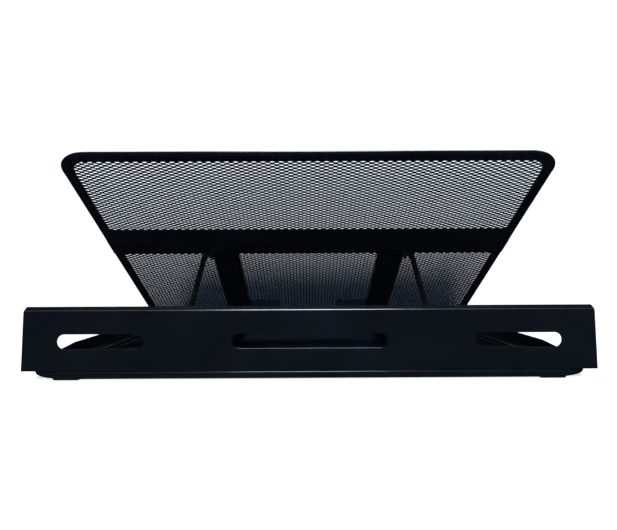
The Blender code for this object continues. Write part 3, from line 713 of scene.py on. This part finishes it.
# Stage: a white painted floor and a white backdrop close behind the stand, in a white room.
# The floor that is looked at is lifted to white, except under and behind the stand, where the lift fades
# out: painted shade there, under the shadow that the lamps cast.
STAGE_SIZE = 12.0
FLOOR_DROP = 0.00002
FLOOR_LIFT = 0.80
BACKDROP_Y = 0.2335
BACKDROP_TOP = 0.46
BACKDROP_LIFT = 0.0
SHADE_HALF_X = TRAY_HALF + 0.016
SHADE_HALF_Y = 0.212
SHADE_MIDDLE = SHADE_HALF_Y - TRAY_FRONT
SHADE_FADE = (-0.024, -0.008)
ROOM_BLUE = "#aaceff"
ROOM_LEVEL = 0.26


def reckoned(tree, operation, first, second=0.0):
    """Result of one arithmetic step on two values or sockets."""
    return add(tree, "ShaderNodeMath", {0: first, 1: second}, operation=operation).outputs[0]


def looked_at(tree):
    """One for the rays that look at the stage: from the camera, from a sheen or through clear paint."""
    path = add(tree, "ShaderNodeLightPath").outputs
    seen = reckoned(tree, "MAXIMUM", path["Is Camera Ray"], path["Is Glossy Ray"])
    return reckoned(tree, "MAXIMUM", seen, path["Is Transmission Ray"])


def white_paint(name, lift):
    """White paint whose lit colour is raised by lift for the rays that look at it. The lift fades out under
    the stand and behind it, as far as the backdrop, which paints shade there. Seen from its back, the
    paint is clear."""
    material = bpy.data.materials.new(name)
    tree = bare_tree(material)
    place = add(tree, "ShaderNodeTexCoord").outputs["Object"]
    apart = add(tree, "ShaderNodeSeparateXYZ", {0: place}).outputs
    # Painted shade: in a rectangle under the stand and back to the backdrop, the lift fades to nothing.
    along = reckoned(tree, "SUBTRACT", reckoned(tree, "ABSOLUTE", apart["X"]), SHADE_HALF_X)
    away = reckoned(tree, "ABSOLUTE", reckoned(tree, "SUBTRACT", apart["Y"], SHADE_MIDDLE))
    away = reckoned(tree, "SUBTRACT", away, SHADE_HALF_Y)
    clear_of = reckoned(tree, "MAXIMUM", along, away)
    lift_outside_painted_shade = add(
        tree,
        "ShaderNodeMapRange",
        {"Value": clear_of, "From Min": SHADE_FADE[0], "From Max": SHADE_FADE[1], "To Max": lift},
    )
    glow = reckoned(tree, "MULTIPLY", looked_at(tree), lift_outside_painted_shade.outputs["Result"])
    paint = add(tree, "ShaderNodeBsdfDiffuse", {"Color": (0.9, 0.9, 0.9, 1.0)})
    raised = add(tree, "ShaderNodeEmission", {"Color": (1, 1, 1, 1), "Strength": glow})
    front = add(tree, "ShaderNodeAddShader", {0: paint.outputs[0], 1: raised.outputs[0]})
    clear = add(tree, "ShaderNodeBsdfTransparent")
    behind = add(tree, "ShaderNodeNewGeometry").outputs["Backfacing"]
    sided = add(tree, "ShaderNodeMixShader", {0: behind, 1: front.outputs[0], 2: clear.outputs[0]})
    add(tree, "ShaderNodeOutputMaterial", {"Surface": sided.outputs[0]})
    return material


def stage_sheet(name, points, faces, material):
    """Sheet of four-cornered faces that belongs to the stage."""
    mesh = bpy.data.meshes.new(name)
    mesh.from_pydata(points, [], faces)
    mesh.materials.append(material)
    sheet = bpy.data.objects.new(name, mesh)
    bpy.context.scene.collection.objects.link(sheet)
    return sheet


stage_sheet(
    "white_floor",
    [(x * STAGE_SIZE, y * STAGE_SIZE, -FLOOR_DROP) for x, y in ((-1, -1), (1, -1), (1, 1), (-1, 1))],
    [(0, 1, 2, 3)],
    white_paint("white_floor_paint", FLOOR_LIFT),
)
backdrop = stage_sheet(
    "white_backdrop",
    [(x * STAGE_SIZE, BACKDROP_Y, z * BACKDROP_TOP) for x, z in ((-1, 0), (1, 0), (1, 1), (-1, 1))],
    [(0, 1, 2, 3)],
    white_paint("white_backdrop_paint", BACKDROP_LIFT),
)
backdrop.visible_diffuse = False
backdrop.visible_glossy = False
backdrop.visible_shadow = False

# The room lights the stand weakly and a little blue, and is white to the rays that look at it.
world = bpy.data.worlds.new("white_room")
bpy.context.scene.world = world
tree = bare_tree(world)
room = add(tree, "ShaderNodeBackground", {"Color": linear(ROOM_BLUE), "Strength": ROOM_LEVEL})
white = add(tree, "ShaderNodeBackground", {"Color": (1, 1, 1, 1), "Strength": 1.0})
mixed = add(tree, "ShaderNodeMixShader", {0: looked_at(tree), 1: room.outputs[0], 2: white.outputs[0]})
add(tree, "ShaderNodeOutputWorld", {"Surface": mixed.outputs[0]})

# Lamps: a hard key light from the camera's side, a little from the left, and two soft strips overhead.
# The key is polarised, as for black goods: it lights the coat, but leaves no glare on it.
KEY_STRENGTH = 1.04
KEY_DISTANCE = 2.0
KEY_ELEVATION = math.radians(11.7)
KEY_FROM_LEFT = math.radians(4.0)
STRIP_WHITE = "#e6f5ff"
STRIP_TARGET = (0.0, -0.21, 0.0)


def aimed(data, place, target):
    """Object at a place whose -Z axis points at the target."""
    ahead = np.array(target, float) - np.array(place, float)
    ahead /= np.linalg.norm(ahead)
    right = np.cross(ahead, (0.0, 1.0, 0.0) if abs(ahead[2]) > 0.99 else (0.0, 0.0, 1.0))
    right /= np.linalg.norm(right)
    matrix = np.eye(4)
    matrix[:3, :3] = np.stack((right, np.cross(right, ahead), -ahead), axis=1)
    matrix[:3, 3] = place
    placed = bpy.data.objects.new(data.name, data)
    placed.matrix_world = Matrix(matrix.tolist())
    bpy.context.scene.collection.objects.link(placed)
    return placed


key = bpy.data.lights.new("key_light", "SUN")
key.energy = KEY_STRENGTH * math.pi
key.angle = math.radians(8)
key_place = KEY_DISTANCE * np.array([-math.tan(KEY_FROM_LEFT), -1.0, math.tan(KEY_ELEVATION)])
aimed(key, key_place, (0, 0, 0)).visible_glossy = False

# The narrow strip draws the bright line along the wall's fold, and the wide one carries it to the ends.
top = bpy.data.lights.new("top_strip", "AREA")
top.shape = "RECTANGLE"
top.size = 0.4
top.size_y = 0.35
top.spread = math.radians(28)
top.energy = 0.55
top.color = linear(STRIP_WHITE)[:3]
aimed(top, (0.0, -0.22, 1.1), STRIP_TARGET).visible_camera = False
wide = top.copy()
wide.name = "wide_strip"
wide.size = 1.6
wide.spread = math.radians(75)
wide.energy = 0.8
aimed(wide, (0.0, -0.22, 1.12), STRIP_TARGET).visible_camera = False

# Dark tent: black cloth on the floor, round and above the stand, as a studio hangs it for black goods.
# It has a narrow gap across the back and is seen only in the sheen of the coat, which mirrors the dark.
TENT_RADIUS = 1.6
TENT_PROFILE = np.array(
    [(0.0, 0.0003), (1.0, 0.0003), (1.0, 0.355), (1.0, 0.40), (1.0, 0.70), (0.7, 1.05), (0.0, 1.20)]
)
TENT_PANELS = 36
GAP_ROW = 2
GAP_FIRST_PANEL = 22
TENT_BLACK = "#0c0c0d"

sweep = np.radians(np.linspace(-20, 340, TENT_PANELS + 1))[:, None]
tent_out = TENT_RADIUS * TENT_PROFILE[:, 0]
tent_up = np.broadcast_to(TENT_RADIUS * TENT_PROFILE[:, 1], (len(sweep), len(TENT_PROFILE)))
tent_points = np.stack((tent_out * np.cos(sweep), -tent_out * np.sin(sweep), tent_up), axis=2)
tent_points = tent_points.reshape(-1, 3)
grid = np.arange(len(tent_points)).reshape(len(sweep), -1)
tent_quads = np.stack((grid[:-1, :-1], grid[1:, :-1], grid[1:, 1:], grid[:-1, 1:]), axis=2)
hung = np.ones(tent_quads.shape[:2], bool)
hung[GAP_FIRST_PANEL:, GAP_ROW] = False
cloth = bpy.data.materials.new("black_cloth")
tree = bare_tree(cloth)
weave = add(tree, "ShaderNodeBsdfDiffuse", {"Color": linear(TENT_BLACK)})
add(tree, "ShaderNodeOutputMaterial", {"Surface": weave.outputs[0]})
tent = stage_sheet("dark_tent", tent_points.tolist(), tent_quads[hung].tolist(), cloth)
tent.visible_camera = False
tent.visible_diffuse = False
tent.visible_transmission = False
tent.visible_shadow = False

# Camera: at the photograph's place behind the stand, a little above the top of the rear wall.
# It looks along the stand to the hinge, with a lens as long as the sensor is wide.
CAMERA_PLACE = (-0.00228, -0.54505, 0.06499)
CAMERA_TURNS = (0.782, -0.261, 0.262)

lens = bpy.data.cameras.new("camera")
lens.sensor_width = 36.0
lens.sensor_fit = "HORIZONTAL"
lens.lens = 36.16
lens.clip_start = 0.01
camera = bpy.data.objects.new("camera", lens)
bpy.context.scene.collection.objects.link(camera)
pitch, yaw, roll = np.radians(CAMERA_TURNS)
turn_z = np.array([[math.cos(yaw), -math.sin(yaw), 0], [math.sin(yaw), math.cos(yaw), 0], [0, 0, 1]])
turn_x = np.array([[1, 0, 0], [0, math.cos(pitch), -math.sin(pitch)], [0, math.sin(pitch), math.cos(pitch)]])
turn_y = np.array([[math.cos(roll), 0, math.sin(roll)], [0, 1, 0], [-math.sin(roll), 0, math.cos(roll)]])
axes = turn_z @ turn_x @ turn_y
matrix = np.eye(4)
matrix[:3, :3] = np.stack((axes[:, 0], axes[:, 2], -axes[:, 1]), axis=1)
matrix[:3, 3] = CAMERA_PLACE
camera.matrix_world = Matrix(matrix.tolist())
bpy.context.scene.camera = camera
bpy.context.scene.view_settings.view_transform = "Standard"
